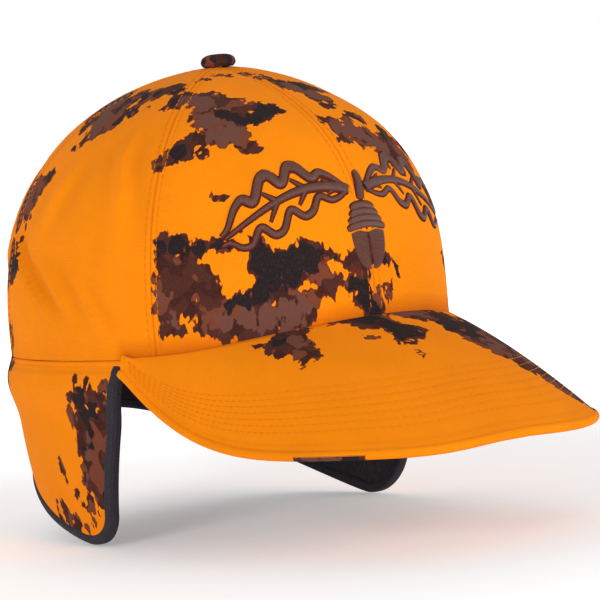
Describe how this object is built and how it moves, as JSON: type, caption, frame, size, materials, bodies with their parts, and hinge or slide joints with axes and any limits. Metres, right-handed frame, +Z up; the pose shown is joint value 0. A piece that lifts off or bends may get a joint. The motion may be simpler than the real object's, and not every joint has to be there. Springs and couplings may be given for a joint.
{
  "type": "winter cap",
  "caption": "Panelled peaked winter cap with a curved peak and a fold-down ear and neck flap that turns up along its hem.",
  "frame": {"origin": "centre of the crown's hem plane, where the wearer's head enters", "axes": "+Z up through the crown, -Y forward over the peak, -X towards the wearer's right"},
  "size_m": [0.1798, 0.2967, 0.2049],
  "materials": {
    "camo_twill": "brushed cotton-polyester twill in blaze orange with printed brown and black blotches, matte",
    "fleece_lining": "short-pile charcoal fleece, matte",
    "buckram": "stiffened open-weave buckram",
    "sweatband_jersey": "folded black jersey, matte",
    "button_cloth": "cloth-covered button, dark brown print",
    "rivet_metal": "stamped aluminium, satin",
    "board_plastic": "moulded polyethylene board",
    "satin_embroidery": "brown rayon satin stitch over padding, silky sheen",
    "elastic_binding": "ribbed black elastic binding, matte"
  },
  "bodies": {
    "crown": {"panel_front_right": "camo_twill", "panel_side_right": "camo_twill", "panel_back_right": "camo_twill", "panel_back_left": "camo_twill", "panel_side_left": "camo_twill", "panel_front_left": "camo_twill", "buckram_front_right": "buckram", "buckram_front_left": "buckram", "lining_front_right": "fleece_lining", "lining_side_right": "fleece_lining", "lining_back_right": "fleece_lining", "lining_back_left": "fleece_lining", "lining_side_left": "fleece_lining", "lining_front_left": "fleece_lining", "sweatband": "sweatband_jersey", "hem_band": "camo_twill", "crown_button": "button_cloth", "button_rivet": "rivet_metal", "button_backing": "rivet_metal", "peak_board": "board_plastic", "peak_top_cover": "camo_twill", "peak_bottom_cover": "camo_twill", "sprig_leaf_right": "satin_embroidery", "sprig_leaf_left": "satin_embroidery", "sprig_acorn": "satin_embroidery"},
    "flap_section_1": {"flap_cover_1": "camo_twill", "flap_lining_1": "fleece_lining", "flap_binding_1": "elastic_binding"},
    "flap_section_2": {"flap_cover_2": "camo_twill", "flap_lining_2": "fleece_lining", "flap_binding_2": "elastic_binding"},
    "flap_section_3": {"flap_cover_3": "camo_twill", "flap_lining_3": "fleece_lining", "flap_binding_3": "elastic_binding"},
    "flap_section_4": {"flap_cover_4": "camo_twill", "flap_lining_4": "fleece_lining", "flap_binding_4": "elastic_binding"},
    "flap_section_5": {"flap_cover_5": "camo_twill", "flap_lining_5": "fleece_lining", "flap_binding_5": "elastic_binding"},
    "flap_section_6": {"flap_cover_6": "camo_twill", "flap_lining_6": "fleece_lining", "flap_binding_6": "elastic_binding"},
    "flap_section_7": {"flap_cover_7": "camo_twill", "flap_lining_7": "fleece_lining", "flap_binding_7": "elastic_binding"},
    "flap_section_8": {"flap_cover_8": "camo_twill", "flap_lining_8": "fleece_lining", "flap_binding_8": "elastic_binding"}
  },
  "joints": [
    {"name": "flap_fold_1", "type": "hinge", "parent": "crown", "child": "flap_section_1", "pos_m": [-0.08955, -0.01567, -0.0053], "axis": [-0.0886, 0.9961, 0], "range_deg": [0, 172]},
    {"name": "flap_fold_2", "type": "hinge", "parent": "crown", "child": "flap_section_2", "pos_m": [-0.08481, 0.04137, -0.0053], "axis": [0.2778, 0.9606, 0], "range_deg": [0, 172]},
    {"name": "flap_fold_3", "type": "hinge", "parent": "crown", "child": "flap_section_3", "pos_m": [-0.06165, 0.0833, -0.0053], "axis": [0.6823, 0.7311, 0], "range_deg": [0, 172]},
    {"name": "flap_fold_4", "type": "hinge", "parent": "crown", "child": "flap_section_4", "pos_m": [-0.0239, 0.10623, -0.0053], "axis": [0.9648, 0.2628, 0], "range_deg": [0, 172]},
    {"name": "flap_fold_5", "type": "hinge", "parent": "crown", "child": "flap_section_5", "pos_m": [0.0239, 0.10623, -0.0053], "axis": [0.9648, -0.2628, 0], "range_deg": [0, 172]},
    {"name": "flap_fold_6", "type": "hinge", "parent": "crown", "child": "flap_section_6", "pos_m": [0.06165, 0.0833, -0.0053], "axis": [0.6823, -0.7311, 0], "range_deg": [0, 172]},
    {"name": "flap_fold_7", "type": "hinge", "parent": "crown", "child": "flap_section_7", "pos_m": [0.08481, 0.04137, -0.0053], "axis": [0.2778, -0.9606, 0], "range_deg": [0, 172]},
    {"name": "flap_fold_8", "type": "hinge", "parent": "crown", "child": "flap_section_8", "pos_m": [0.08955, -0.01567, -0.0053], "axis": [-0.0886, -0.9961, 0], "range_deg": [0, 172]}
  ],
  "couplings": [
    {"joint": "flap_fold_2", "follows": "flap_fold_1", "ratio": 1},
    {"joint": "flap_fold_3", "follows": "flap_fold_1", "ratio": 1},
    {"joint": "flap_fold_4", "follows": "flap_fold_1", "ratio": 1},
    {"joint": "flap_fold_5", "follows": "flap_fold_1", "ratio": 1},
    {"joint": "flap_fold_6", "follows": "flap_fold_1", "ratio": 1},
    {"joint": "flap_fold_7", "follows": "flap_fold_1", "ratio": 1},
    {"joint": "flap_fold_8", "follows": "flap_fold_1", "ratio": 1}
  ]
}
